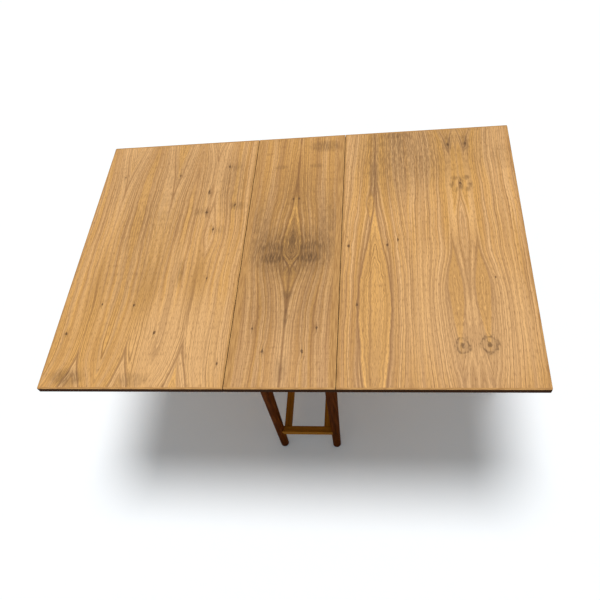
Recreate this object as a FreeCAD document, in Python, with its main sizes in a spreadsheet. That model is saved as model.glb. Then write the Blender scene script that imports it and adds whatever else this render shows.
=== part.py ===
import FreeCAD, Part
import os
import re

# Butterfly folding table. The frame is in millimetres: origin on the floor under the
# centre of the top, +X to the right leaf, +Y to the rear, +Z up. The narrow centre panel
# stands on a base of four splayed turned legs. A leaf hangs on each long side of it on
# three butt hinges and stands on a turned leg of its own, which folds flat under the leaf.
# The left leaf and all that it carries are the right leaf's, turned half round about Z.

SIZES = {
    # top
    "top_length": 1500,
    "top_depth": 1050,
    "top_height": 720,
    "top_thick": 19,
    "centre_width": 330,
    "seam_gap": 1.5,
    "lipping": 6,
    "seam_lipping": 20,
    "corner_radius": 4,
    "edge_round": 1,
    # base legs: the axis of each meets the floor at foot_x, foot_y and the top's upper
    # face at head_x, head_y
    "foot_x": 102.5,
    "foot_y": 416,
    "head_x": 122.5,
    "head_y": 330,
    "foot_radius": 15,
    "head_radius": 26,
    "foot_round": 4,
    "foot_trim": 1.2,
    # glides
    "glide_thick": 2.5,
    "glide_radius": 10,
    "nail_radius": 1.2,
    "nail_length": 14,
    # rails and aprons
    "rail_height": 94,
    "rail_size": 25,
    "rail_round": 1.5,
    "side_rail_x": 75.5,
    "apron_depth": 60,
    "apron_thick": 20,
    "apron_set_in": 9,
    "block_size": 40,
    "block_depth": 30,
    # dowels
    "dowel_radius": 4,
    "dowel_length": 36,
    "end_dowel_spread": 17,
    "side_dowel_spread": 6,
    "rail_dowel_length": 22,
    "rail_dowel_shift": 5,
    "rail_dowel_set": 2,
    # butt hinges
    "hinge_reach": 380,
    "hinge_length": 60,
    "hinge_width": 25,
    "plate_thick": 2,
    "knuckle_radius": 3.5,
    "knuckle_room": 0.3,
    "knuckle_gap": 0.3,
    "groove_room": 0.7,
    "pin_radius": 1.5,
    "pin_clearance": 0.05,
    # wood screws, countersunk
    "screw_head": 3,
    "screw_shank": 1.5,
    "screw_sink": 1.6,
    "hinge_screw_length": 12,
    "hinge_screw_inset": 10,
    "hinge_screw_spread": 20,
    "big_head": 4,
    "big_shank": 2,
    "big_sink": 2,
    "screw_bite": 10,
    # battens under the leaves
    "batten_width": 40,
    "batten_thick": 18,
    "batten_start": 70,
    "batten_clear": 40,
    "batten_spread": 363,
    "batten_chamfer": 8,
    "batten_screw_inset": 40,
    # leaf legs, their brackets and bolts
    "leaf_leg_inset": 30,
    "leaf_leg_margin": 1,
    "leaf_foot_radius": 11.5,
    "leaf_head_radius": 14.5,
    "pivot_drop": 17,
    "flat_half": 13,
    "flat_length": 22,
    "ear_gap": 0.3,
    "ear_thick": 2.5,
    "ear_radius": 12,
    "bracket_thick": 2,
    "bracket_reach": 32,
    "bracket_screw_y": 25,
    "bolt_radius": 4,
    "bolt_clearance": 0.05,
    "bolt_head_radius": 7.5,
    "bolt_head_thick": 4.5,
    "bolt_head_round": 2,
    "washer_radius": 8,
    "washer_thick": 1.6,
    "nut_radius": 7.5,
    "nut_thick": 6.5,
    "bolt_end": 1.5,
}

# Places worked out from the sizes.
PLACES = {
    "under": "top_height - top_thick",
    "seam_x": "centre_width / 2",
    "centre_edge": "seam_x - seam_gap / 2",
    "leaf_inner": "seam_x + seam_gap / 2",
    "leaf_outer": "top_length / 2",
    "half_depth": "top_depth / 2",
    "lean_x": "head_x - foot_x",
    "lean_y": "head_y - foot_y",
    "lean": "hypot(lean_x; lean_y)",
    "leg_slant": "hypot(lean; top_height) / top_height",
    "rail_mid": "rail_height + rail_size / 2",
    "rail_x": "foot_x + lean_x * rail_mid / top_height",
    "rail_y": "foot_y + lean_y * rail_mid / top_height",
    "apron_mid": "under - apron_depth / 2",
    "apron_x": "foot_x + lean_x * apron_mid / top_height",
    "apron_y": "foot_y + lean_y * apron_mid / top_height",
    "side_apron_x": "apron_x - apron_set_in",
    "block_x": "side_apron_x - apron_thick / 2 - block_size / 2",
    "block_y": "apron_y - apron_thick / 2 - block_size / 2",
    "foot_z": "glide_thick - foot_trim",
    "knuckle_length": "hinge_length / 5",
    "pivot_x": "leaf_outer - leaf_leg_inset",
    "pivot_z": "under - pivot_drop",
    "pivot_y": "half_depth - leaf_leg_margin - pivot_z",
    "batten_end": "pivot_x - batten_clear",
    "batten_length": "batten_end - seam_x - batten_start",
    "ear_inner": "flat_half + ear_gap",
    "ear_outer": "ear_inner + ear_thick",
}

doc = FreeCAD.newDocument("ButterflyTable")
sheet = doc.addObject("Spreadsheet::Sheet", "Sizes")
for row, (alias, value) in enumerate(SIZES.items(), start=1):
    sheet.set(f"A{row}", alias)
    sheet.set(f"B{row}", str(value))
    sheet.setAlias(f"B{row}", alias)
doc.recompute()

SUB_PARTS = []


def sized(text):
    """Write out an expression: places as their own expressions, sizes as sheet cells."""
    def word(found):
        name = found.group(0)
        if name in PLACES:
            return "(" + sized(PLACES[name]) + ")"
        return "Sizes." + name if name in SIZES else name
    return re.sub(r"[a-z][a-z_]*", word, str(text))


def bind(feature, **expressions):
    """Bind each property of a feature to an expression."""
    for name, text in expressions.items():
        feature.setExpression(name, sized(text))
    return feature


def place(feature, at, turn="rotation(vector(0; 0; 1); 0)"):
    """Bind the place of a feature to three expressions and a rotation."""
    point = "; ".join(f"({sized(value)})" for value in at)
    feature.setExpression("Placement", f"placement(vector({point}); {sized(turn)})")
    return feature


TO_X = "rotation(vector(0; 1; 0); 90)"
TO_Y = "rotation(vector(1; 0; 0); -90)"


def box(name, at, size):
    """A block from its low corner and its three lengths."""
    block = doc.addObject("Part::Box", name)
    bind(block, Length=size[0], Width=size[1], Height=size[2])
    return place(block, at)


def beam(name, middle, size):
    """A block from its middle and its three lengths."""
    corner = [f"{m} - ({s}) / 2" for m, s in zip(middle, size)]
    return box(name, corner, size)


def rod(name, at, radius, length, turn="rotation(vector(0; 0; 1); 0)"):
    """A cylinder from the middle of its first end."""
    cylinder = doc.addObject("Part::Cylinder", name)
    bind(cylinder, Radius=radius, Height=length)
    return place(cylinder, at, turn)


def taper(name, at, first, last, length, turn="rotation(vector(0; 0; 1); 0)"):
    """A cone from the middle of its first end."""
    cone = doc.addObject("Part::Cone", name)
    bind(cone, Radius1=first, Radius2=last, Height=length)
    return place(cone, at, turn)


def fuse(name, *shapes):
    joined = doc.addObject("Part::MultiFuse", name)
    joined.Shapes = list(shapes)
    return joined


def common(name, first, second):
    shared = doc.addObject("Part::Common", name)
    shared.Base = first
    shared.Tool = second
    return shared


def cut(name, body, *tools):
    """Cut the tools from the body, one after another."""
    for number, tool in enumerate(tools):
        left = doc.addObject("Part::Cut", f"{name}_{number}")
        left.Base = body
        left.Tool = tool
        body = left
    return body


def group(name, shapes):
    """Several solids that share one node."""
    held = doc.addObject("Part::Compound", name)
    held.Links = list(shapes)
    return held


def eased(kind, name, body, radius_of):
    """Round or chamfer the edges for which radius_of gives a radius."""
    doc.recompute()
    result = doc.addObject(kind, name)
    result.Base = body
    edges = []
    for number, edge in enumerate(body.Shape.Edges, start=1):
        radius = radius_of(edge)
        if radius:
            edges.append((number, radius, radius))
    result.Edges = edges
    return result


def sub_part(label, body):
    """Give a finished sub-part its label."""
    body.Label = label
    SUB_PARTS.append(body)
    return body


def half_turn(feature):
    """Turn a finished sub-part half round about the table's upright axis."""
    return place(feature, ("0", "0", "0"), "rotation(vector(0; 0; 1); 180)")


SIDES = {"right": 1, "left": -1}
ENDS = {"front": -1, "rear": 1}


# Dowels of the base

def make_apron_dowels():
    dowels = []
    for side in SIDES.values():
        for end in ENDS.values():
            for level in (-1, 1):
                start_x = f"{side} * (apron_x - head_radius) - dowel_length / 2"
                height = f"apron_mid + {level} * end_dowel_spread"
                dowels.append(rod("end_dowel", (start_x, f"{end} * apron_y", height),
                                  "dowel_radius", "dowel_length", TO_X))
                start_y = f"{end} * (apron_y - head_radius) - dowel_length / 2"
                height = f"apron_mid + {level} * side_dowel_spread"
                dowels.append(rod("side_dowel", (f"{side} * side_apron_x", start_y, height),
                                  "dowel_radius", "dowel_length", TO_Y))
    return sub_part("apron_dowels", group("apron_dowels", dowels))


def make_rail_dowels():
    dowels = []
    for side in SIDES.values():
        for end in ENDS.values():
            start_x = f"{side} * (rail_x - foot_radius) - rail_dowel_length / 2"
            dowels.append(rod("cross_dowel", (start_x, f"{end} * rail_y", "rail_mid + rail_dowel_shift"),
                              "dowel_radius", "rail_dowel_length", TO_X))
            start_y = f"{end} * (rail_y - rail_size / 2 - rail_dowel_set) - rail_dowel_length / 2"
            dowels.append(rod("rail_dowel", (f"{side} * side_rail_x", start_y, "rail_mid - rail_dowel_shift"),
                              "dowel_radius", "rail_dowel_length", TO_Y))
    return sub_part("rail_dowels", group("rail_dowels", dowels))


# Glides and legs of the base

def make_glide(label, x, y):
    """A round foot plate with a nail that is driven up into the leg."""
    plate = rod("glide_plate", (x, y, "0"), "glide_radius", "glide_thick")
    nail = rod("glide_nail", (x, y, "glide_thick / 2"), "nail_radius", "nail_length")
    return sub_part(label, fuse("glide", plate, nail))


def rounded_foot(name, cone, radius):
    """Round the lower rim of a turned leg."""
    def rim(edge):
        round_rim = edge.Curve.TypeId == "Part::GeomCircle" and abs(edge.Curve.Radius - radius) < 0.01
        return float(sheet.foot_round) if round_rim else 0
    return eased("Part::Fillet", name, cone, rim)


def make_leg_blank(side, end):
    """The turned leg, sawn level at the glide and under the top."""
    turn = (f"rotation(vector({-end} * lean_y; {side} * lean_x; 0); atan(lean / top_height))")
    low = (f"{side} * (foot_x + lean_x * foot_z / top_height)",
           f"{end} * (foot_y + lean_y * foot_z / top_height)", "foot_z")
    turned = taper("leg_turning", low, "foot_radius", "head_radius",
                   "(top_height - foot_z) * leg_slant", turn)
    turned = rounded_foot("leg_rounding", turned, float(sheet.foot_radius))
    room = beam("leg_room", (f"{side} * (foot_x + head_x) / 2", f"{end} * (foot_y + head_y) / 2",
                             "(under + glide_thick) / 2"),
                ("abs(lean_x) + 4 * head_radius", "abs(lean_y) + 4 * head_radius", "under - glide_thick"))
    return common("leg_blank", turned, room)


def make_base():
    """Legs, glides, rails, aprons and corner blocks."""
    apron_dowels = make_apron_dowels()
    rail_dowels = make_rail_dowels()
    blanks = {}
    for side_name, side in SIDES.items():
        for end_name, end in ENDS.items():
            glide = make_glide(f"{end_name}_{side_name}_glide",
                               f"{side} * (foot_x + lean_x * foot_z / top_height)",
                               f"{end} * (foot_y + lean_y * foot_z / top_height)")
            blank = make_leg_blank(side, end)
            blanks[side_name, end_name] = blank
            leg = cut("leg", blank, apron_dowels, rail_dowels, glide)
            sub_part(f"{end_name}_{side_name}_leg", leg)
    make_cross_rails(blanks, rail_dowels)
    make_side_rails(rail_dowels)
    make_end_aprons(blanks, apron_dowels)
    make_side_aprons(blanks, apron_dowels)
    return make_corner_blocks(blanks)


def make_cross_rails(blanks, dowels):
    """The two low rails across the ends, shaped to the round legs."""
    for end_name, end in ENDS.items():
        rail = beam("cross_rail", ("0", f"{end} * rail_y", "rail_mid"),
                    ("2 * rail_x - foot_radius / 2", "rail_size", "rail_size"))
        rail = eased("Part::Fillet", "cross_rail_edges", rail, lambda edge: long_edge(edge, 0))
        rail = cut("cross_rail", rail, blanks["left", end_name], blanks["right", end_name], dowels)
        sub_part(f"{end_name}_cross_rail", rail)


def make_side_rails(dowels):
    """The two low rails along the sides, butted between the cross rails."""
    for side_name, side in SIDES.items():
        rail = beam("side_rail", (f"{side} * side_rail_x", "0", "rail_mid"),
                    ("rail_size", "2 * rail_y - rail_size", "rail_size"))
        rail = eased("Part::Fillet", "side_rail_edges", rail, lambda edge: long_edge(edge, 1))
        sub_part(f"{side_name}_side_rail", cut("side_rail", rail, dowels))


def long_edge(edge, direction):
    """The rounding of a rail's edge: only the edges along its length have one."""
    start, end = (vertex.Point for vertex in edge.Vertexes)
    run = [abs(a - b) for a, b in zip(start, end)]
    return float(sheet.rail_round) if run[direction] > 2 * float(sheet.rail_size) else 0


def make_end_aprons(blanks, dowels):
    for end_name, end in ENDS.items():
        apron = beam("end_apron", ("0", f"{end} * apron_y", "apron_mid"),
                     ("2 * apron_x - head_radius / 2", "apron_thick", "apron_depth"))
        apron = cut("end_apron", apron, blanks["left", end_name], blanks["right", end_name], dowels)
        sub_part(f"{end_name}_apron", apron)


def make_side_aprons(blanks, dowels):
    for side_name, side in SIDES.items():
        apron = beam("side_apron", (f"{side} * side_apron_x", "0", "apron_mid"),
                     ("apron_thick", "2 * apron_y - head_radius / 2", "apron_depth"))
        apron = cut("side_apron", apron, blanks[side_name, "front"], blanks[side_name, "rear"], dowels)
        sub_part(f"{side_name}_apron", apron)


def make_corner_blocks(blanks):
    """Glue blocks in the corners of the aprons and the screws through them into the top."""
    screws = []
    blocks = []
    for side_name, side in SIDES.items():
        for end_name, end in ENDS.items():
            x = f"{side} * block_x"
            y = f"{end} * block_y"
            screw = make_screw("fixing", (x, y, "under - block_depth"), "big", "block_depth + screw_bite")
            block = beam("block", (x, y, "under - block_depth / 2"),
                         ("block_size", "block_size", "block_depth"))
            screws.append(screw)
            blocks.append(cut("corner_block", block, blanks[side_name, end_name], screw))
    sub_part("corner_blocks", group("corner_blocks", blocks))
    return sub_part("top_fixing_screws", group("top_fixing_screws", screws))


# Screws

def make_screw(name, at, kind, length):
    """A countersunk wood screw that points up from the middle of its head."""
    head, shank, sink = f"{kind}_head", f"{kind}_shank", f"{kind}_sink"
    cone = taper(f"{name}_head", at, head, shank, sink)
    above = (at[0], at[1], f"{at[2]} + {sink}")
    stem = rod(f"{name}_stem", above, shank, f"{length} - {sink}")
    return fuse(f"{name}_screw", cone, stem)


# Hinges, written for the right seam

HINGE_PLACES = ("-hinge_reach", "0", "hinge_reach")
FIXED_KNUCKLES = (0, 2, 4)
LEAF_KNUCKLES = (1, 3)


def knuckle(name, y, number, radius, spare):
    """One knuckle along the hinge's axis, or the room for it."""
    start = f"{y} - hinge_length / 2 + {number} * knuckle_length - {spare}"
    return rod(name, ("seam_x", start, "under"), radius, f"knuckle_length + 2 * {spare}", TO_Y)


def make_plate(name, y, direction, own, other, spare, bore):
    """A hinge plate: the flap, its own knuckles and the room for the other plate's."""
    start = "seam_x" if direction > 0 else "seam_x - hinge_width"
    flap = box(f"{name}_flap", (start, f"{y} - hinge_length / 2", "under"),
               ("hinge_width", "hinge_length", "plate_thick"))
    knuckles = [knuckle(f"{name}_knuckle", y, number, "knuckle_radius", "0") for number in own]
    rooms = [knuckle(f"{name}_room", y, number, "knuckle_radius + knuckle_room", spare)
             for number in other]
    hole = rod(f"{name}_bore", ("seam_x", f"{y} - hinge_length", "under"), bore,
               "2 * hinge_length", TO_Y)
    return cut(name, fuse(f"{name}_solid", flap, *knuckles), *rooms, hole)


def make_hinge_screws(name, y, direction):
    x = f"seam_x + {direction} * (hinge_width - hinge_screw_inset)"
    return [make_screw(name, (x, f"{y} + {step} * hinge_screw_spread", "under"), "screw",
                       "hinge_screw_length") for step in (-1, 1)]


def hinge_seats(direction):
    """The shallow recess for each plate and the groove for each barrel."""
    seats = []
    start = "seam_x" if direction > 0 else "seam_x - hinge_width"
    for y in HINGE_PLACES:
        seats.append(box("hinge_recess", (start, f"{y} - hinge_length / 2", "under"),
                         ("hinge_width", "hinge_length", "plate_thick")))
        seats.append(rod("hinge_groove", ("seam_x", f"{y} - hinge_length / 2 - groove_room", "under"),
                         "knuckle_radius + groove_room", "hinge_length + 2 * groove_room", TO_Y))
    return seats


def make_hinges(side_name):
    """Three hinges of one seam. Returns the screws of the centre panel and of the leaf."""
    fixed, moving, pins, fixed_screws, leaf_screws = [], [], [], [], []
    for y in HINGE_PLACES:
        near = make_hinge_screws("fixed", y, -1)
        far = make_hinge_screws("leaf", y, 1)
        plate = make_plate("fixed_plate", y, -1, FIXED_KNUCKLES, LEAF_KNUCKLES, "0", "pin_radius")
        fixed.append(cut("fixed_plate_drilled", plate, *near))
        plate = make_plate("leaf_plate", y, 1, LEAF_KNUCKLES, FIXED_KNUCKLES, "knuckle_gap",
                           "pin_radius + pin_clearance")
        moving.append(cut("leaf_plate_drilled", plate, *far))
        pins.append(rod("pin", ("seam_x", f"{y} - hinge_length / 2", "under"), "pin_radius",
                        "hinge_length", TO_Y))
        fixed_screws += near
        leaf_screws += far
    groups = {"hinge_fixed_plates": fixed, "hinge_leaf_plates": moving, "hinge_pins": pins,
              "hinge_fixed_screws": fixed_screws, "hinge_leaf_screws": leaf_screws}
    made = {}
    for name, shapes in groups.items():
        made[name] = sub_part(f"{side_name}_{name}", group(f"{side_name}_{name}", shapes))
        if side_name == "left":
            half_turn(made[name])
    return made


# Panels

def make_blank_panel(name, low_x, high_x, corners):
    """A panel with eased edges; corners says whether the outer corners have their radius."""
    block = box(f"{name}_block", (low_x, "-half_depth", "under"),
                (f"({high_x}) - ({low_x})", "top_depth", "top_thick"))

    def radius(edge):
        start, end = (vertex.Point for vertex in edge.Vertexes)
        upright = abs(start.z - end.z) > 0.5 * float(sheet.top_thick)
        outer = abs(start.x) > 0.5 * float(sheet.top_length) - 1
        if upright:
            return float(sheet.corner_radius) if corners and outer else 0
        return float(sheet.edge_round)
    return eased("Part::Fillet", f"{name}_edges", block, radius)


def make_lipping(name, panel, low_x, high_x, side, tools_low, tools_high):
    """Four solid strips round a panel: front and rear at full width, the sides between.
    side is the width of a side strip, and the tools are what is cut from each."""
    wide = f"({high_x}) - ({low_x})"
    between = "top_depth - 2 * lipping"
    strips = []
    for y in ("-half_depth", "half_depth - lipping"):
        room = box(f"{name}_room", (low_x, y, "under"), (wide, "lipping", "top_thick"))
        strips.append(common(f"{name}_strip", panel, room))
    for x, tools in ((low_x, tools_low), (f"({high_x}) - {side}", tools_high)):
        room = box(f"{name}_room", (x, "lipping - half_depth", "under"), (side, between, "top_thick"))
        strips.append(cut(f"{name}_side", common(f"{name}_strip", panel, room), *tools))
    return group(name, strips)


def make_core(name, low_x, high_x, side):
    """The veneered board inside the strips."""
    return box(name, (f"{low_x} + {side}", "lipping - half_depth", "under"),
               (f"({high_x}) - ({low_x}) - 2 * {side}", "top_depth - 2 * lipping", "top_thick"))


def half_turned(name, shapes):
    """Copies of tools for the left seam: the right ones, turned half round."""
    turned = group(name, shapes)
    return half_turn(turned)


def make_centre(fixing_screws, hinges):
    """The centre panel: its core, its lipping, and the seats for both rows of hinges."""
    low, high = "-centre_edge", "centre_edge"
    panel = make_blank_panel("centre", low, high, False)
    right_tools = hinge_seats(-1) + [hinges["right"]["hinge_fixed_screws"]]
    left_tools = [half_turned("turned_seat", [seat]) for seat in hinge_seats(-1)]
    left_tools.append(hinges["left"]["hinge_fixed_screws"])
    core = cut("centre_core", make_core("centre_core_block", low, high, "seam_lipping"),
               *right_tools, *left_tools, fixing_screws)
    sub_part("centre_panel", core)
    sub_part("centre_lipping", make_lipping("centre_lipping", panel, low, high, "seam_lipping",
                                            left_tools, right_tools))


# Leaves, written for the right leaf

def make_battens():
    """Two battens across a leaf and their screws."""
    battens, screws = [], []
    for y in ("pivot_y", "pivot_y + batten_spread"):
        bar = box("batten_bar", ("seam_x + batten_start", f"{y} - batten_width / 2", "under - batten_thick"),
                  ("batten_length", "batten_width", "batten_thick"))

        def low_end(edge):
            start, end = (vertex.Point for vertex in edge.Vertexes)
            across = abs(start.y - end.y) > 0.5 * float(sheet.batten_width)
            low = max(start.z, end.z) < float(sheet.top_height - sheet.top_thick) - 1
            return float(sheet.batten_chamfer) if across and low else 0
        bar = eased("Part::Chamfer", "batten_ends", bar, low_end)
        row = []
        for x in ("seam_x + batten_start + batten_screw_inset", "seam_x + batten_start + batten_length / 2",
                  "batten_end - batten_screw_inset"):
            row.append(make_screw("batten", (x, y, "under - batten_thick"), "big",
                                  "batten_thick + screw_bite"))
        battens.append(cut("batten", bar, *row))
        screws += row
    return {"leaf_battens": group("battens", battens), "batten_screws": group("screws", screws)}


def make_bracket():
    """The steel fork under the leaf, its screws, the pivot bolt, and its nut and washer."""
    screws = []
    for step in (-1, 1):
        at = ("pivot_x", f"pivot_y + {step} * bracket_screw_y", "under - bracket_thick")
        screws.append(make_screw("bracket", at, "screw", "hinge_screw_length"))
    plate = box("bracket_plate", ("pivot_x - ear_outer", "pivot_y - bracket_reach", "under - bracket_thick"),
                ("2 * ear_outer", "2 * bracket_reach", "bracket_thick"))
    pieces = [plate]
    for x in ("pivot_x - ear_outer", "pivot_x + ear_inner"):
        pieces.append(box("ear", (x, "pivot_y - ear_radius", "pivot_z"),
                          ("ear_thick", "2 * ear_radius", "pivot_drop - bracket_thick / 2")))
        pieces.append(rod("ear_end", (x, "pivot_y", "pivot_z"), "ear_radius", "ear_thick", TO_X))
    shank = rod("bolt_shank", ("pivot_x - ear_outer - bolt_head_thick / 2", "pivot_y", "pivot_z"),
                "bolt_radius",
                "bolt_head_thick / 2 + 2 * ear_outer + washer_thick + nut_thick + bolt_end", TO_X)
    head = rod("bolt_head", ("pivot_x - ear_outer - bolt_head_thick", "pivot_y", "pivot_z"),
               "bolt_head_radius", "bolt_head_thick", TO_X)

    def outer_rim(edge):
        rim = edge.Curve.TypeId == "Part::GeomCircle" and len(edge.Vertexes) == 1
        first = min(vertex.Point.x for vertex in head.Shape.Vertexes)
        outer = edge.Vertexes[0].Point.x < first + 0.01
        return float(sheet.bolt_head_round) if rim and outer else 0
    head = eased("Part::Fillet", "bolt_head_rim", head, outer_rim)
    bolt = fuse("bolt", shank, head)
    washer = cut("washer", rod("washer_disc", ("pivot_x + ear_outer", "pivot_y", "pivot_z"),
                               "washer_radius", "washer_thick", TO_X), shank)
    hexagon = doc.addObject("Part::Prism", "nut_block")
    hexagon.Polygon = 6
    bind(hexagon, Circumradius="nut_radius", Height="nut_thick")
    place(hexagon, ("pivot_x + ear_outer + washer_thick", "pivot_y", "pivot_z"), TO_X)
    nut = cut("nut", hexagon, shank)
    return {"leg_bracket": cut("bracket", fuse("bracket_solid", *pieces), shank, *screws),
            "bracket_screws": group("screws", screws),
            "leg_pivot_bolt": bolt,
            "leg_pivot_nut": group("nut_and_washer", [nut, washer])}


def make_leaf_leg(glide):
    """The turned leaf leg, with a round end and two flats that fit between the ears."""
    cone = taper("leaf_leg_cone", ("pivot_x", "pivot_y", "glide_thick"), "leaf_foot_radius",
                 "leaf_head_radius", "pivot_z - glide_thick")
    cone = rounded_foot("leaf_leg_foot", cone, float(sheet.leaf_foot_radius))
    neck = rod("leaf_leg_neck", ("pivot_x", "pivot_y", "pivot_z"), "leaf_head_radius", "leaf_head_radius")
    dome = rod("leaf_leg_dome", ("pivot_x - leaf_head_radius", "pivot_y", "pivot_z"), "leaf_head_radius",
               "2 * leaf_head_radius", TO_X)
    turned = fuse("leaf_leg_turned", cone, common("leaf_leg_end", neck, dome))
    flats = []
    for x in ("pivot_x - flat_half - leaf_head_radius", "pivot_x + flat_half"):
        flats.append(box("leaf_leg_flat", (x, "pivot_y - leaf_head_radius", "pivot_z - flat_length"),
                         ("leaf_head_radius", "2 * leaf_head_radius", "flat_length + leaf_head_radius")))
    bore = rod("leaf_leg_bore", ("pivot_x - 2 * leaf_head_radius", "pivot_y", "pivot_z"),
               "bolt_radius + bolt_clearance", "4 * leaf_head_radius", TO_X)
    return cut("leaf_leg", turned, *flats, bore, glide)


def make_leaf(side_name):
    """One leaf with its battens and its folding leg."""
    low, high = "leaf_inner", "leaf_outer"
    panel = make_blank_panel("leaf", low, high, True)
    battens = make_battens()
    bracket = make_bracket()
    screws = []
    for y in HINGE_PLACES:
        screws += make_hinge_screws("leaf_hole", y, 1)
    tools = hinge_seats(1) + [group("leaf_hinge_holes", screws)]
    core = cut("leaf_core", make_core("leaf_block", low, high, "lipping"), *tools,
               battens["batten_screws"], bracket["bracket_screws"])
    lipping = make_lipping("leaf_strips", panel, low, high, "lipping", tools, [])
    plate = rod("leaf_glide_plate", ("pivot_x", "pivot_y", "0"), "glide_radius", "glide_thick")
    nail = rod("leaf_glide_nail", ("pivot_x", "pivot_y", "glide_thick / 2"), "nail_radius", "nail_length")
    glide = fuse("leaf_glide", plate, nail)
    nodes = {"leaf_panel": core, "leaf_lipping": lipping, "leaf_leg": make_leaf_leg(glide),
             "leaf_leg_glide": glide, **battens, **bracket}
    doc.recompute()
    for name, shape in nodes.items():
        if side_name == "left":
            shape = half_turned("turned_half", [shape])
        sub_part(f"{side_name}_{name}", shape)


def check_and_write():
    """Stop on any failed object, then write one file for each sub-part."""
    doc.recompute()
    for item in doc.Objects:
        if "Invalid" in item.State or "Error" in item.State:
            raise RuntimeError(f"{item.Name} failed: {item.State}")
    for item in SUB_PARTS:
        if item.Shape.isNull() or not item.Shape.isValid() or not item.Shape.Solids:
            raise RuntimeError(f"{item.Label} has no valid shape")
    os.makedirs("parts", exist_ok=True)
    for item in SUB_PARTS:
        item.Shape.exportStep(f"parts/{item.Label}.step")
        print(f"{item.Label}: {len(item.Shape.Solids)} solids, {item.Shape.Volume:.0f} mm3")


fixing_screws = make_base()
hinges = {side_name: make_hinges(side_name) for side_name in SIDES}
make_centre(fixing_screws, hinges)
for side_name in SIDES:
    make_leaf(side_name)
check_and_write()
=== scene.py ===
import math
import bpy
from mathutils import Matrix, Vector


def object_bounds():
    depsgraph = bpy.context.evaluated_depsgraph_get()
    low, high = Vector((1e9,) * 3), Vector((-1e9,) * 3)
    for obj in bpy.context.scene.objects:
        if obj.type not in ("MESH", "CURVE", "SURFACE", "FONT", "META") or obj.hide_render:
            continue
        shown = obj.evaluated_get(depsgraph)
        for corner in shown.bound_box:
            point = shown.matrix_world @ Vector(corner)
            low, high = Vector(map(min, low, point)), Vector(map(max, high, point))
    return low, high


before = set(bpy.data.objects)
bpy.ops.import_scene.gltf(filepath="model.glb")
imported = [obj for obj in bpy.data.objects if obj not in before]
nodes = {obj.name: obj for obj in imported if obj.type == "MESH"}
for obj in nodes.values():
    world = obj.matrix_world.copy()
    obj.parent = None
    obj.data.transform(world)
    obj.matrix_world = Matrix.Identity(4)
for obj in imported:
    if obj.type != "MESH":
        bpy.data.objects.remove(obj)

cad_box = [list(corner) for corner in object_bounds()]
scene = bpy.context.scene
scene.view_settings.view_transform = "Standard"


# The camera stands in front of the table, a little to its right, and looks down on the top.
# Its place is in the table's own frame, in metres, and its three directions are the view's
# right, its up and the line of sight. The view is 600 wide when it is held 615 away.
CAMERA_PLACE = Vector((0.3333, -1.2752, 2.3008))
VIEW_RIGHT = Vector((0.98829, 0.06719, -0.13702))
VIEW_UP = Vector((0.02006, 0.83288, 0.55308))
LINE_OF_SIGHT = Vector((-0.15128, 0.54935, -0.82178))
VIEW_WIDTH = 600
VIEW_DISTANCE = 615

lens = bpy.data.cameras.new("table_camera")
lens.sensor_fit = "HORIZONTAL"
lens.angle = 2 * math.atan(VIEW_WIDTH / 2 / VIEW_DISTANCE)
camera = bpy.data.objects.new("table_camera", lens)
facing = Matrix((VIEW_RIGHT, VIEW_UP, -LINE_OF_SIGHT)).transposed().to_4x4()
camera.matrix_world = Matrix.Translation(CAMERA_PLACE) @ facing
scene.collection.objects.link(camera)
scene.camera = camera


# One large soft lamp hangs high above the table, a little behind it, and the studio's white
# walls fill in from all sides.
LAMP_PLACE = (0.0, 0.3, 3.0)
LAMP_DIRECTION = Vector((0.0, -0.105, -1.0))
LAMP_WIDTH = math.radians(24)
LAMP_STRENGTH = 2.60
WALL_STRENGTH = 0.30

lamp_data = bpy.data.lights.new("soft_lamp", "SUN")
lamp_data.energy = LAMP_STRENGTH
lamp_data.angle = LAMP_WIDTH
lamp = bpy.data.objects.new("soft_lamp", lamp_data)
lamp.rotation_euler = LAMP_DIRECTION.to_track_quat("-Z", "Y").to_euler()
lamp.location = LAMP_PLACE
scene.collection.objects.link(lamp)

walls = bpy.data.worlds.new("studio_walls")
walls.use_nodes = True
scene.world = walls
wall_tree = walls.node_tree
wall_light = wall_tree.nodes["Background"]
wall_light.inputs["Color"].default_value = (1, 1, 1, 1)
wall_rays = wall_tree.nodes.new("ShaderNodeLightPath")
seen = wall_tree.nodes.new("ShaderNodeMath")
seen.operation = "MAXIMUM"
wall_tree.links.new(wall_rays.outputs["Is Camera Ray"], seen.inputs[0])
wall_tree.links.new(wall_rays.outputs["Is Glossy Ray"], seen.inputs[1])
strength = wall_tree.nodes.new("ShaderNodeMapRange")
wall_tree.links.new(seen.outputs[0], strength.inputs["Value"])
strength.inputs["To Min"].default_value = WALL_STRENGTH
strength.inputs["To Max"].default_value = 1.0
wall_tree.links.new(strength.outputs[0], wall_light.inputs["Strength"])


# The studio floor is a wide sheet of white paper. It takes the table's soft shadow, and a
# little cool light of its own lifts the unshaded paper to white.
FLOOR_SIZE = 30.0
FLOOR_DROP = 0.0005
PAPER_WHITE = (0.86, 0.88, 0.90, 1)
PAPER_GLOW = (0.50, 0.80, 1.0, 1)
PAPER_LIFT = 0.08
PAPER_ROUGHNESS = 0.95

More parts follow.
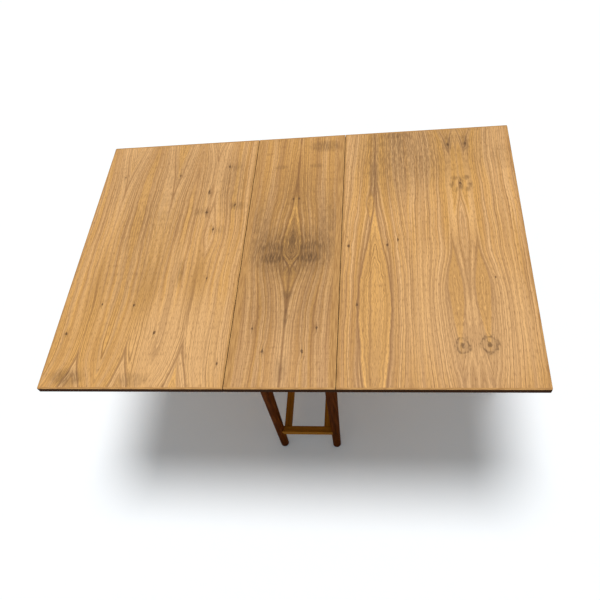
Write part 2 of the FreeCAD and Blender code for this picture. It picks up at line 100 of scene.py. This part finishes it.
bpy.ops.mesh.primitive_plane_add(size=FLOOR_SIZE, location=(0, 0, -FLOOR_DROP))
floor = bpy.context.object
floor.name = "paper_floor"
paper = bpy.data.materials.new("white_paper")
paper.use_nodes = True
paper_tree = paper.node_tree
paper_coat = paper_tree.nodes["Principled BSDF"]
paper_coat.inputs["Base Color"].default_value = PAPER_WHITE
paper_coat.inputs["Roughness"].default_value = PAPER_ROUGHNESS
paper_coat.inputs["Specular IOR Level"].default_value = 0.0
paper_coat.inputs["Emission Color"].default_value = PAPER_GLOW
paper_rays = paper_tree.nodes.new("ShaderNodeLightPath")
paper_lift = paper_tree.nodes.new("ShaderNodeMath")
paper_lift.operation = "MULTIPLY"
paper_lift.inputs[1].default_value = PAPER_LIFT
paper_tree.links.new(paper_rays.outputs["Is Camera Ray"], paper_lift.inputs[0])
paper_tree.links.new(paper_lift.outputs[0], paper_coat.inputs["Emission Strength"])
floor.data.materials.append(paper)


# The three boards of the top are faced with flat-cut walnut veneer, oiled to a warm honey
# brown. The grain runs front to back. Sheets are opened like a book about a joint, so their
# figure is mirrored there, and growth rings close round long hearts into tall flames.
OILED_PALE = (0.772, 0.455, 0.192)
OILED_BRIGHT = (0.840, 0.460, 0.130)
OILED_GOLD = (0.701, 0.380, 0.110)
OILED_MIDDLE = (0.475, 0.240, 0.082)
OILED_DARK = (0.215, 0.095, 0.029)
# The darkest brown darkens knots and dark figure, and is also laid on as painted shade over the rear of
# the leaves.
KNOT_AND_SHADE_BROWN = (0.110, 0.052, 0.016)
OIL_ROUGHNESS = (0.42, 0.58)
OIL_SHEEN = 0.20

# The growth rings: how many cross a metre, how uneven they are, and the part of each over
# which the late wood darkens. Within a heart, from HEART_EDGE inwards, the lines are softer.
RINGS_PER_METRE = 110
RING_PATCH = 0.024
RING_UNEVENNESS = 4.0
LATE_FROM = 0.30
LATE_FULL = 0.90
LATE_DARKNESS = (0.48, 0.52)
HEART_EDGE = (-0.035, 0.006)
HEART_BLEND = 0.02
BANDS_IN_HEART = 0.55
HEART_WIDTHS_TO_STRAIGHT = 3.0
RIM_WIDTH = 0.006
RIM_DARKNESS = 0.75
RIM_INSET = 0.1
GLOW_INSET = 1.5 * RIM_WIDTH
GLOW_WIDTH = 1.2 * RIM_WIDTH
GLOW_STRENGTH = 0.9
ISLAND_GOLD = 0.75
ISLAND_GOLD_FADE = 0.25

# How the grain strays to the side. Patches are (across, along) in metres.
SWAY = {"patch": (0.20, 0.60), "reach": 0.040}
WOBBLE = {"patch": (0.036, 0.10), "reach": 0.011, "shift": 3, "detail": 4.0}
CURLS = {"patch": (0.022, 0.040), "reach": 0.020, "shift": 8}

# The marks that the grain is made of, from the broad ones to the pores.
GOLDEN = {"patch": (0.022, 0.9), "limits": (0.38, 0.62), "shift": 9}
BANDS = {"patch": (0.012, 1.1), "limits": (0.40, 0.64), "depths": (0.0, 0.48), "shift": 5, "detail": 3.0}
LATE_WOOD = {"patch": (0.022, 1.2), "limits": (0.34, 0.62), "depths": (0.10, 1.0), "shift": 7}
STREAKS = {"patch": (0.0040, 0.45), "limits": (0.42, 0.66), "depths": (0.0, 0.40), "shift": 1}
DASHES = {"patch": (0.0024, 0.018), "limits": (0.50, 0.68), "depths": (0.0, 0.45), "shift": 2,
          "detail": 3.0}
SMOKE = {"patch": (0.033, 0.0060), "limits": (0.40, 0.66)}
SMOKE_CONTRAST = 1.7
PORES = {"patch": (0.00095, 0.022), "limits": (0.60, 0.74)}
PORE_DARKNESS = 0.40
PORE_RELIEF = 0.00006
RIPPLE = {"patch": (0.0042, 0.030), "limits": (0.34, 0.62), "depths": (0.30, 1.0), "shift": 4,
          "detail": 3.0}

# Knots: small ones have tails along the grain, and large ones a broken ring of bark. The
# parts of a knot are ovals, (across, along) in widths of the knot.
LARGE_KNOT = 0.012
SWIRL = (3.0, 5.5)
SWIRL_PULL = 0.6
MOST_SWIRL = 0.005
SMALL_CORE = (0.8, 1.6)
SMALL_CORE_FADE = (0.05, 1.0)
SMALL_CORE_DARKNESS = 0.95
TAILS = (0.5, 4.5)
TAIL_DARKNESS = 0.40
LARGE_CORE_FADE = (0.01, 0.16)
LARGE_CORE_DARKNESS = 0.75
BARK = (1.0, 1.35)
BARK_RING = 0.80
BARK_WIDTH = 0.50
BARK_DARKNESS = 0.66
CROOKED = {"patch": (0.007, 0.013), "limits": (0.32, 0.68), "depths": (0.50, 2.0), "shift": 6}
BARK_BULGES = {"patch": (0.020, 0.028), "limits": (0.35, 0.65), "depths": (0.72, 1.35)}
BARK_BREAKS = {"patch": (0.008, 0.012), "limits": (0.36, 0.62), "depths": (0.30, 1.0)}


class Reading:
    """A number or colour that changes over a piece, held by one output of its finish. Sums
    on it are written as on plain numbers, and each becomes a node of the same finish."""

    def __init__(self, output):
        self.output = output

    __add__ = __radd__ = lambda self, other: worked("ADD", self, other)
    __mul__ = __rmul__ = lambda self, other: worked("MULTIPLY", self, other)
    __sub__ = lambda self, other: worked("SUBTRACT", self, other)
    __truediv__ = lambda self, other: worked("DIVIDE", self, other)
    __abs__ = lambda self: worked("ABSOLUTE", self)


def feed(sockets, values):
    """Links readings to sockets, and writes plain numbers and colours into them."""
    for socket, value in zip(sockets, values):
        if isinstance(value, Reading):
            socket.id_data.links.new(value.output, socket)
        else:
            socket.default_value = (*value, 1) if isinstance(value, tuple) else value


def new_node(kind, readings):
    """A node in the same finish as the first reading among some values."""
    tree = next(value.output.id_data for value in readings if isinstance(value, Reading))
    return tree.nodes.new(kind)


def worked(operation, *values):
    """The outcome of one sum on numbers or readings."""
    sum_node = new_node("ShaderNodeMath", values)
    sum_node.operation = operation
    feed(sum_node.inputs, values)
    return Reading(sum_node.outputs[0])


def clouds(x, y, z, detail=2.0, roughness=0.5):
    """Smooth random shading from 0 to 1. Its patches are one unit of x, y and z across."""
    point = new_node("ShaderNodeCombineXYZ", (x, y, z))
    feed(point.inputs, (x, y, z))
    shading = new_node("ShaderNodeTexNoise", (x, y, z))
    feed([shading.inputs[name] for name in ("Vector", "Scale", "Detail", "Roughness")],
         [Reading(point.outputs[0]), 1.0, detail, roughness])
    return Reading(shading.outputs[0])


def ease(value, low, high, to_low=0.0, to_high=1.0):
    """A soft step from one level to another as the value goes from low to high."""
    step = new_node("ShaderNodeMapRange", [value])
    step.interpolation_type = "SMOOTHSTEP"
    feed([step.inputs[name] for name in ("Value", "From Min", "From Max", "To Min", "To Max")],
         [value, low, high, to_low, to_high])
    return Reading(step.outputs[0])


def tint(amount, first, second):
    """Two colours mixed by an amount."""
    mixed = new_node("ShaderNodeMix", (amount, first, second))
    mixed.data_type = "RGBA"
    colours = [socket for socket in mixed.inputs if socket.type == "RGBA"]
    feed([mixed.inputs[0], *colours], [amount, first, second])
    return Reading(next(socket for socket in mixed.outputs if socket.type == "RGBA"))


def apart(output):
    """The three numbers of a place or direction."""
    split = output.id_data.nodes.new("ShaderNodeSeparateXYZ")
    output.id_data.links.new(output, split.inputs[0])
    return [Reading(number) for number in split.outputs]


def new_finish(name):
    """An empty finish, its shader's sockets, and the place on the piece."""
    finish = bpy.data.materials.new(name)
    finish.use_nodes = True
    shader = finish.node_tree.nodes["Principled BSDF"]
    place = finish.node_tree.nodes.new("ShaderNodeTexCoord").outputs["Object"]
    return finish, shader.inputs, *apart(place)


def raise_grain(coat, height, depth):
    """Lets the grain stand in low relief."""
    bump = new_node("ShaderNodeBump", [height])
    feed([bump.inputs["Distance"], bump.inputs["Height"]], [depth, height])
    feed([coat["Normal"]], [Reading(bump.outputs[0])])


def off_lens(across, along, centre, width, lengths):
    """How far the rings have grown from the pointed lens of a flat-cut figure, in metres, and
    below zero inside it. The lens runs out over the first length to the rear and over the
    second to the front. Beside it the grain straightens slowly, over a few widths."""
    side = abs(across - centre[0])
    run = along - centre[1]
    reach = worked("MAXIMUM", run / lengths[0], run / -lengths[1])
    swell = worked("EXPONENT", reach * reach * -1.0)
    calm = worked("EXPONENT", side / (-HEART_WIDTHS_TO_STRAIGHT * width))
    return side - swell * calm * width


def off_middle(across, along, centre, size):
    """How far out a point is on an oval, squared: 0 on its middle and 1 on its rim."""
    side = (across - centre[0]) / size[0]
    run = (along - centre[1]) / size[1]
    return side * side + run * run


def strayed(across, along, seed, patch, reach, shift=0, detail=2.0):
    """How far the grain strays to the side, by up to half its reach either way."""
    return (clouds(across / patch[0], along / patch[1], seed + shift, detail) - 0.5) * reach


def marks(across, along, seed, patch, limits, depths=(0.0, 1.0), shift=0, detail=2.0):
    """Marks of one kind in the grain, from the first depth to the second between two limits.
    A shift keeps a kind from following the others."""
    return ease(clouds(across / patch[0], along / patch[1], seed + shift, detail), *limits, *depths)


def fading(reach, amount):
    """An amount that fades out from the middle of an oval to its rim."""
    return ease(reach, 0.0, 1.0, amount, 0.0)


def strongest(amounts):
    """The largest of some amounts at each point."""
    most = amounts[0]
    for amount in amounts[1:]:
        most = worked("MAXIMUM", most, amount)
    return most


def off_knot(across, along, centre, width, shape):
    """How far out a point is on one oval part of a knot, squared."""
    return off_middle(across, along, centre, (width * shape[0], width * shape[1]))


def knot_mark(across, along, centre, width, crooked):
    """How dark a knot is: a core with tails along the grain, and in a large one the broken
    ring of bark it grew in."""
    if width < LARGE_KNOT:
        reach = off_knot(across, along, centre, width, SMALL_CORE) * crooked
        core = ease(reach, *SMALL_CORE_FADE, SMALL_CORE_DARKNESS, 0.0)
        return strongest([core, fading(off_knot(across, along, centre, width, TAILS), TAIL_DARKNESS)])
    seed = width * 1000
    reach = off_knot(across, along, centre, width, BARK) * marks(across, along, seed, **BARK_BULGES)
    core = ease(reach * crooked, *LARGE_CORE_FADE, LARGE_CORE_DARKNESS, 0.0)
    ring = ease(abs(reach - BARK_RING), 0.0, BARK_WIDTH, BARK_DARKNESS, 0.0)
    return strongest([core, ring * marks(across, along, seed, **BARK_BREAKS)])


def opened(x, joints):
    """The place across a board, counted alike on the two sheets of a mirrored pair."""
    across = x
    for joint, sheet_width in joints:
        off = abs(x - joint)
        in_pair = worked("LESS_THAN", off, sheet_width)
        across = across + (off + joint - across) * in_pair
    return across


def figure(across, wobble, x, y, seed, hearts, islands, knots):
    """How far the rings have grown at each point, in metres, and three amounts: the dark rims
    of hearts and islands, the bright line within an island's rim, and its golden inside."""
    bent = across + strayed(across, y, seed, **SWAY) + wobble
    growth = None
    rims = []
    glows = []
    fills = []
    for centre_x, centre_y, width, lengths, rim in hearts:
        ring = off_lens(bent, y, (centre_x, centre_y), width, lengths)
        growth = ring if growth is None else worked("SMOOTH_MIN", growth, ring, HEART_BLEND)
        rims.append(ease(abs(ring + RIM_INSET * width), 0.0, RIM_WIDTH, rim, 0.0))
    curls = strayed(across, y, seed, **CURLS)
    for centre_x, centre_y, width, lengths, rim in islands:
        ring = off_lens(across + wobble, y, (centre_x, centre_y), width, lengths)
        rims.append(ease(abs(ring), 0.0, RIM_WIDTH, rim, 0.0))
        glows.append(ease(abs(ring + GLOW_INSET), 0.0, GLOW_WIDTH, GLOW_STRENGTH * rim, 0.0))
        fills.append(ease(ring, -ISLAND_GOLD_FADE * width, 0.0, ISLAND_GOLD, 0.0))
        within = ease(ring, -RIM_WIDTH, 0.0, 1.0, 0.0)
        growth = growth + (ring + curls - growth) * within
    for centre_x, centre_y, width in knots:
        reach = off_knot(x, y, (centre_x, centre_y), width, SWIRL)
        growth = growth - fading(reach, 1.0) * min(SWIRL_PULL * width, MOST_SWIRL)
    return growth, strongest(rims), strongest(glows), strongest(fills)


def late_wood(growth, y, seed):
    """How dark the late part of each ring is: it rises slowly and ends sharply."""
    uneven = clouds(growth / RING_PATCH, seed, 0.0)
    ring_face = worked("FRACT", growth * RINGS_PER_METRE + uneven * RING_UNEVENNESS)
    rise = ease(ring_face, LATE_FROM, LATE_FULL)
    end = ease(ring_face, LATE_FULL, 1.0, 1.0, 0.0)
    strength = marks(growth, y, seed, **LATE_WOOD)
    return rise * end * strength * ease(growth, *HEART_EDGE, *LATE_DARKNESS)


def patched(colour, across, along, patches, shade, ripple=1.0):
    """A colour shaded in soft ovals of (across, along, width, length, amount)."""
    for centre_x, centre_y, width, length, amount in patches:
        reach = off_middle(across, along, (centre_x, centre_y), (width, length))
        colour = tint(fading(reach, amount) * ripple, colour, shade)
    return colour


def veneer(name, seed, joints, hearts, islands, knots, shades, painted_reflections=(), smoke=0.0):
    """The finish of one board, in metres on the top. joints are (across, sheet width) where two
    sheets are mirrored. hearts are (across, along, width, (rear, front), dark rim) of the
    lenses that the rings grow from, and islands the like for pale figures within them. knots
    are (across, along, width). shades, and the list of paler patches after them, are (across,
    along, width, length, amount) of darker and of paler patches. The darker ones are dark figure
    and knot smudges, and the broad ones over the rear of the leaves are painted shade. The paler
    ones are painted reflection of the lamp's sheen on the oiled top. smoke is how dark and curly
    the whole board is."""
    finish, coat, x, y = new_finish(name)[:4]
    across = opened(x, joints)
    wobble = strayed(across, y, seed, **WOBBLE)
    growth, rims, glows, fills = figure(across, wobble, x, y, seed, hearts, islands, knots)

    colour = tint(marks(growth, y, seed, **GOLDEN), OILED_PALE, OILED_GOLD)
    bands = marks(growth, y, seed, **BANDS) * ease(growth, *HEART_EDGE, BANDS_IN_HEART, 1.0)
    colour = tint(bands, colour, OILED_MIDDLE)
    # Painted reflection: the paler patches lighten the top where the lamp's sheen lies on the oil.
    colour = patched(colour, x, y, painted_reflections, OILED_PALE)
    colour = tint(fills, colour, OILED_GOLD)
    colour = tint(late_wood(growth, y, seed), colour, OILED_DARK)
    colour = tint(glows, colour, OILED_BRIGHT)
    colour = tint(rims * RIM_DARKNESS, colour, OILED_DARK)
    colour = tint(marks(growth, y, seed, **STREAKS), colour, OILED_DARK)
    colour = tint(marks(x, y, seed, **DASHES), colour, OILED_DARK)
    if smoke:
        curl = marks(across, y, seed, depths=(smoke, SMOKE_CONTRAST * smoke), **SMOKE)
        colour = tint(curl, colour, OILED_DARK)
    pores = marks(x, y, seed, **PORES)
    colour = tint(pores * PORE_DARKNESS, colour, OILED_DARK)
    # Dark figure and knot smudges, and over the rear of the leaves broad painted shade.
    colour = patched(colour, x + wobble, y, shades, KNOT_AND_SHADE_BROWN, marks(growth, y, seed, **RIPPLE))
    crooked = marks(x, y, seed, **CROOKED)
    for centre_x, centre_y, width in knots:
        colour = tint(knot_mark(x, y, (centre_x, centre_y), width, crooked), colour, KNOT_AND_SHADE_BROWN)

    feed([coat["Base Color"], coat["Roughness"], coat["Specular IOR Level"]],
         [colour, ease(pores, 0.0, 1.0, *OIL_ROUGHNESS), OIL_SHEEN])
    raise_grain(coat, pores * -1.0, PORE_RELIEF)
    return finish


def dress(node_names, finish):
    """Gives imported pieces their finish."""
    for name in node_names:
        piece = nodes[name]
        piece.data.materials.clear()
        piece.data.materials.append(finish)


def mirrored(middle, spots):
    """Spots in one sheet, and the same ones in the sheet opened beside it."""
    return [(middle + side * off, *spot) for off, *spot in spots for side in (-1, 1)]


# Where two sheets meet, from the middle of the table. On the right leaf the paired marks lie
# about a line a little right of their joint.
CENTRE_JOINT = 0.0
RIGHT_JOINT = 0.56
RIGHT_PAIRS = 0.565
CENTRE_SHEET = 0.20
RIGHT_SHEET = 0.183

dress(["centre_panel"], veneer(
    "centre_veneer", seed=2.0, joints=[(CENTRE_JOINT, CENTRE_SHEET)],
    hearts=[(0.0, -0.05, 0.052, (0.21, 0.13), 0.5)],
    islands=[(0.0, -0.02, 0.044, (0.17, 0.05), 1.0), (0.0, -0.12, 0.030, (0.05, 0.075), 0.4)],
    knots=mirrored(CENTRE_JOINT, [(0.010, 0.21, 0.005), (0.10, -0.32, 0.006), (0.06, -0.40, 0.007)]),
    shades=mirrored(CENTRE_JOINT, [(0.065, 0.0, 0.055, 0.026, 0.50), (0.06, -0.05, 0.050, 0.030, 0.85),
                                   (0.065, 0.37, 0.030, 0.014, 0.4), (0.115, 0.08, 0.050, 0.14, 0.27)])
    + [(0.0, -0.02, 0.19, 0.13, 0.55), (0.0, 0.02, 0.014, 0.09, 0.55), (0.0, 0.10, 0.22, 0.33, 0.30),
       (0.0, -0.16, 0.24, 0.24, 0.20), (0.0, -0.20, 0.020, 0.035, 0.4), (0.0, -0.28, 0.008, 0.05, 0.6),
       (0.0, -0.46, 0.022, 0.06, 0.3), (0.095, 0.47, 0.075, 0.036, 0.55)], smoke=0.12))
dress(["right_leaf_panel"], veneer(
    "right_veneer", seed=11.0, joints=[(RIGHT_JOINT, RIGHT_SHEET)],
    hearts=[(0.275, -0.24, 0.075, (0.42, 0.55), 0.6), (0.60, -0.20, 0.034, (0.13, 0.22), 0.2),
            (0.59, 0.60, 0.050, (0.20, 0.13), 0.7), (0.56, 0.03, 0.028, (0.15, 0.16), 0.3)],
    islands=[(0.275, -0.23, 0.066, (0.25, 0.42), 0.9), (0.26, 0.17, 0.018, (0.045, 0.06), 0.6),
             (0.60, -0.19, 0.031, (0.12, 0.16), 0.35)],
    knots=mirrored(RIGHT_PAIRS, [(0.03, 0.44, 0.006)])
    + [(0.525, -0.385, 0.021), (0.60, -0.385, 0.024), (0.565, 0.25, 0.006), (0.64, -0.15, 0.004),
       (0.315, -0.01, 0.007), (0.35, 0.01, 0.006), (0.19, -0.01, 0.007), (0.22, -0.24, 0.005)],
    shades=mirrored(RIGHT_PAIRS, [(0.03, 0.245, 0.012, 0.023, 0.65), (0.02, 0.275, 0.015, 0.015, 0.60),
                                  (0.02, 0.22, 0.015, 0.015, 0.45), (0.03, 0.45, 0.018, 0.06, 0.50)])
    # The patches at (0.46, 0.45) and (0.345, 0.36) are broad painted shade over the rear of the leaf;
    # the rest are dark figure.
    + [(0.565, 0.25, 0.011, 0.045, 0.70), (0.46, 0.45, 0.32, 0.24, 0.34),
       (0.345, 0.505, 0.070, 0.022, 0.35), (0.365, 0.46, 0.013, 0.08, 0.35),
       (0.525, -0.385, 0.034, 0.045, 0.16), (0.60, -0.385, 0.040, 0.05, 0.20),
       (0.715, 0.37, 0.045, 0.08, 0.22), (0.27, 0.30, 0.025, 0.12, 0.28),
       (0.345, 0.36, 0.18, 0.27, 0.30)],
    # Painted reflection of the lamp's sheen on the front of the leaf.
    painted_reflections=[(0.52, -0.26, 0.28, 0.34, 0.65), (0.60, -0.32, 0.22, 0.26, 0.75)]))
dress(["left_leaf_panel"], veneer(
    "left_veneer", seed=23.0, joints=[],
    hearts=[(-0.65, 0.60, 0.055, (0.20, 0.21), 0.4), (-0.46, 0.62, 0.060, (0.20, 0.25), 0.5),
            (-0.315, 0.62, 0.050, (0.20, 0.13), 0.4), (-0.30, 0.06, 0.026, (0.12, 0.09), 0.3),
            (-0.655, -0.60, 0.075, (0.13, 0.20), 0.9), (-0.49, -0.60, 0.066, (0.14, 0.20), 0.9),
            (-0.32, -0.60, 0.072, (0.15, 0.20), 0.9)],
    islands=[(-0.46, 0.62, 0.040, (0.20, 0.19), 0.3), (-0.32, -0.60, 0.035, (0.11, 0.20), 0.4)],
    knots=[(-0.67, 0.36, 0.005), (-0.45, 0.355, 0.006), (-0.325, 0.265, 0.009),
           (-0.265, 0.39, 0.006), (-0.22, 0.195, 0.007), (-0.32, 0.165, 0.007),
           (-0.285, 0.085, 0.006), (-0.275, -0.125, 0.005), (-0.615, -0.22, 0.005),
           (-0.505, -0.225, 0.005), (-0.415, -0.33, 0.007), (-0.71, -0.33, 0.006),
           (-0.195, -0.44, 0.005)],
    shades=[(-0.345, 0.17, 0.040, 0.024, 0.32), (-0.205, 0.19, 0.045, 0.024, 0.32),
            (-0.24, 0.385, 0.040, 0.020, 0.28), (-0.265, 0.08, 0.036, 0.022, 0.28),
            (-0.37, -0.095, 0.014, 0.075, 0.50), (-0.665, -0.485, 0.070, 0.040, 0.60),
            (-0.45, -0.495, 0.065, 0.030, 0.35), (-0.235, 0.29, 0.065, 0.20, 0.26),
            # The patch at (-0.48, 0.32) is broad painted shade over the rear of the leaf; the rest are
            # dark figure.
            (-0.48, 0.32, 0.34, 0.32, 0.22), (-0.52, 0.0, 0.16, 0.32, 0.22)],
    # Painted reflection of the lamp's sheen on the front of the leaf.
    painted_reflections=[(-0.32, -0.38, 0.24, 0.26, 0.85)]))


# Strips of solid walnut edge each board. On top they are close to the veneer in colour, and
# their outer faces and the underside of the edge, turned away from the lamp, are painted dark as painted
# shade.
STRIP_LIGHT = (0.576, 0.324, 0.118)
STRIP_DARK = (0.378, 0.194, 0.071)
EDGE_PAINTED_SHADE = (0.036, 0.011, 0.001)
STRIP_GRAIN = 0.0033
SIDE_STRIP_RUN = 0.055
END_STRIP_RUN = 0.033
STRIP_LIMITS = (0.3, 0.7)
REAR_EDGE = cad_box[1][1]
END_STRIP = (REAR_EDGE - 0.007, REAR_EDGE - 0.0055)
SHADE_TILT = (0.25, 0.85)
STRIP_ROUGHNESS = 0.55
STRIP_SHEEN = 0.02


def edging(name):
    """Solid strips: the grain runs along the side strips and along the end strips."""
    finish, coat, x, y = new_finish(name)[:4]
    side_grain = clouds(x / STRIP_GRAIN, y / SIDE_STRIP_RUN, 4.0, detail=3.0)
    end_grain = clouds(x / END_STRIP_RUN, y / STRIP_GRAIN, 0.0, detail=3.0)
    streaks = tint(ease(abs(y), *END_STRIP), side_grain, end_grain)
    colour = tint(ease(streaks, *STRIP_LIMITS), STRIP_LIGHT, STRIP_DARK)
    level = apart(finish.node_tree.nodes.new("ShaderNodeTexCoord").outputs["Normal"])[2]
    # Painted shade: faces that tilt away from straight up are painted near black.
    colour = tint(ease(level, *SHADE_TILT), EDGE_PAINTED_SHADE, colour)
    feed([coat["Base Color"], coat["Roughness"], coat["Specular IOR Level"]],
         [colour, STRIP_ROUGHNESS, STRIP_SHEEN])
    return finish


dress(["centre_lipping", "right_leaf_lipping", "left_leaf_lipping"], edging("walnut_edging"))


# The base is solid walnut, stained and oiled. Legs are turned and take the stain darkest,
# rails and aprons are planed and stay a yellower brown. Grain runs along each piece.
TURNED = ((0.136, 0.035, 0.004), (0.072, 0.016, 0.001), (0.019, 0.004, 0.0))
PLANED = ((0.385, 0.170, 0.020), (0.285, 0.116, 0.012), (0.100, 0.039, 0.004))
SOLID_RINGS = (0.009, 0.30)
MIDDLE_LIMITS = (0.28, 0.56)
DARK_LIMITS = (0.52, 0.78)
SOLID_PORES = (0.0014, 0.042)
SOLID_PORE_LIMITS = (0.55, 0.72)
SOLID_PORE_DARKNESS = 0.5
SOLID_PORE_RELIEF = 0.0001
SOLID_ROUGHNESS = (0.45, 0.62)
SOLID_SHEEN = 0.015


def lengthwise(place, run, size):
    """The place counted in patches of a size across the grain, and of another along it."""
    patches = [axis / size[0] for axis in place]
    patches[run] = place[run] / size[1]
    return patches


def stained(name, run, colours):
    """Solid wood whose grain runs along x (0), y (1) or z (2), in three colours."""
    light, middle, dark = colours
    finish, coat, *place = new_finish(name)
    rings = clouds(*lengthwise(place, run, SOLID_RINGS), detail=4.0, roughness=0.6)
    pores = ease(clouds(*lengthwise(place, run, SOLID_PORES)), *SOLID_PORE_LIMITS)
    colour = tint(ease(rings, *MIDDLE_LIMITS), light, middle)
    colour = tint(ease(rings, *DARK_LIMITS), colour, dark)
    colour = tint(pores * SOLID_PORE_DARKNESS, colour, dark)
    feed([coat["Base Color"], coat["Roughness"], coat["Specular IOR Level"]],
         [colour, ease(pores, 0.0, 1.0, *SOLID_ROUGHNESS), SOLID_SHEEN])
    raise_grain(coat, pores * -1.0, SOLID_PORE_RELIEF)
    return finish


dress(["front_left_leg", "front_right_leg", "rear_left_leg", "rear_right_leg",
       "left_leaf_leg", "right_leaf_leg"], stained("turned_walnut", 2, TURNED))
dress(["front_cross_rail", "rear_cross_rail", "front_apron", "rear_apron", "left_leaf_battens",
       "right_leaf_battens"], stained("planed_walnut_across", 0, PLANED))
dress(["left_side_rail", "right_side_rail", "left_apron", "right_apron", "corner_blocks"],
      stained("planed_walnut_along", 1, PLANED))


# Dowels are turned beech, left raw and driven into the joints.
BEECH = ((0.62, 0.42, 0.24), (0.54, 0.35, 0.19), (0.42, 0.25, 0.12))

dress(["apron_dowels", "rail_dowels"], stained("raw_beech", 0, BEECH))


# Hinges are pressed brass, drawn to a dull brushed face. Brackets, bolts, nuts and screws
# are mild steel under bright zinc.
BRASS = (0.60, 0.43, 0.17)
BRASS_SHADE = (0.38, 0.25, 0.09)
BRUSH_LINE = (0.0006, 0.017, 0.0006)
ZINC = (0.62, 0.62, 0.60)
ZINC_SHADE = (0.42, 0.42, 0.43)
ZINC_GRAIN = (0.0033, 0.0033, 0.0033)
METAL_PATCH = 0.022
PATCH_LIMITS = (0.35, 0.7)
PATCH_DEPTH = 0.7
LINE_LIMITS = (0.45, 0.75)
LINE_DEPTH = 0.35
DULL_LIMITS = (0.3, 0.7)
DULLER = 0.16
METAL_RELIEF = 0.00002


def metal(name, colour, shade, line, roughness):
    """Brushed or plated metal with lines of a given size and a patchy tone."""
    finish, coat, x, y, z = new_finish(name)
    lines = clouds(x / line[0], y / line[1], z / line[2], detail=3.0)
    patches = clouds(x / METAL_PATCH, y / METAL_PATCH, z / METAL_PATCH, detail=3.0)
    tone = tint(ease(patches, *PATCH_LIMITS, 0.0, PATCH_DEPTH), colour, shade)
    tone = tint(ease(lines, *LINE_LIMITS, 0.0, LINE_DEPTH), tone, shade)
    feed([coat["Base Color"], coat["Metallic"], coat["Roughness"]],
         [tone, 1.0, ease(lines, *DULL_LIMITS, roughness, roughness + DULLER)])
    raise_grain(coat, lines, METAL_RELIEF)
    return finish


brass = metal("brushed_brass", BRASS, BRASS_SHADE, BRUSH_LINE, roughness=0.28)
zinc = metal("bright_zinc", ZINC, ZINC_SHADE, ZINC_GRAIN, roughness=0.30)
for side in ("left", "right"):
    dress([f"{side}_hinge_fixed_plates", f"{side}_hinge_leaf_plates", f"{side}_hinge_pins"], brass)
    dress([f"{side}_hinge_fixed_screws", f"{side}_hinge_leaf_screws", f"{side}_batten_screws",
           f"{side}_bracket_screws", f"{side}_leg_bracket", f"{side}_leg_pivot_bolt",
           f"{side}_leg_pivot_nut"], zinc)
dress(["top_fixing_screws"], zinc)


# Glides are moulded dark nylon with a driven nail, and keep the end grain off the floor.
NYLON = (0.045, 0.036, 0.030)
NYLON_WORN = (0.080, 0.070, 0.062)
NYLON_ROUGHNESS = (0.45, 0.7)
SCUFF = 0.0038
SCUFF_LIMITS = (0.45, 0.75)
SCUFF_RELIEF = 0.00004


def nylon():
    """Dark moulded nylon, scuffed paler and duller by the floor."""
    finish, coat, x, y, z = new_finish("moulded_nylon")
    scuffs = ease(clouds(x / SCUFF, y / SCUFF, z / SCUFF, detail=4.0), *SCUFF_LIMITS)
    feed([coat["Base Color"], coat["Roughness"]],
         [tint(scuffs, NYLON, NYLON_WORN), ease(scuffs, 0.0, 1.0, *NYLON_ROUGHNESS)])
    raise_grain(coat, scuffs, SCUFF_RELIEF)
    return finish


dress([f"{end}_{side}_glide" for end in ("front", "rear") for side in ("left", "right")]
      + ["left_leaf_leg_glide", "right_leaf_leg_glide"], nylon())
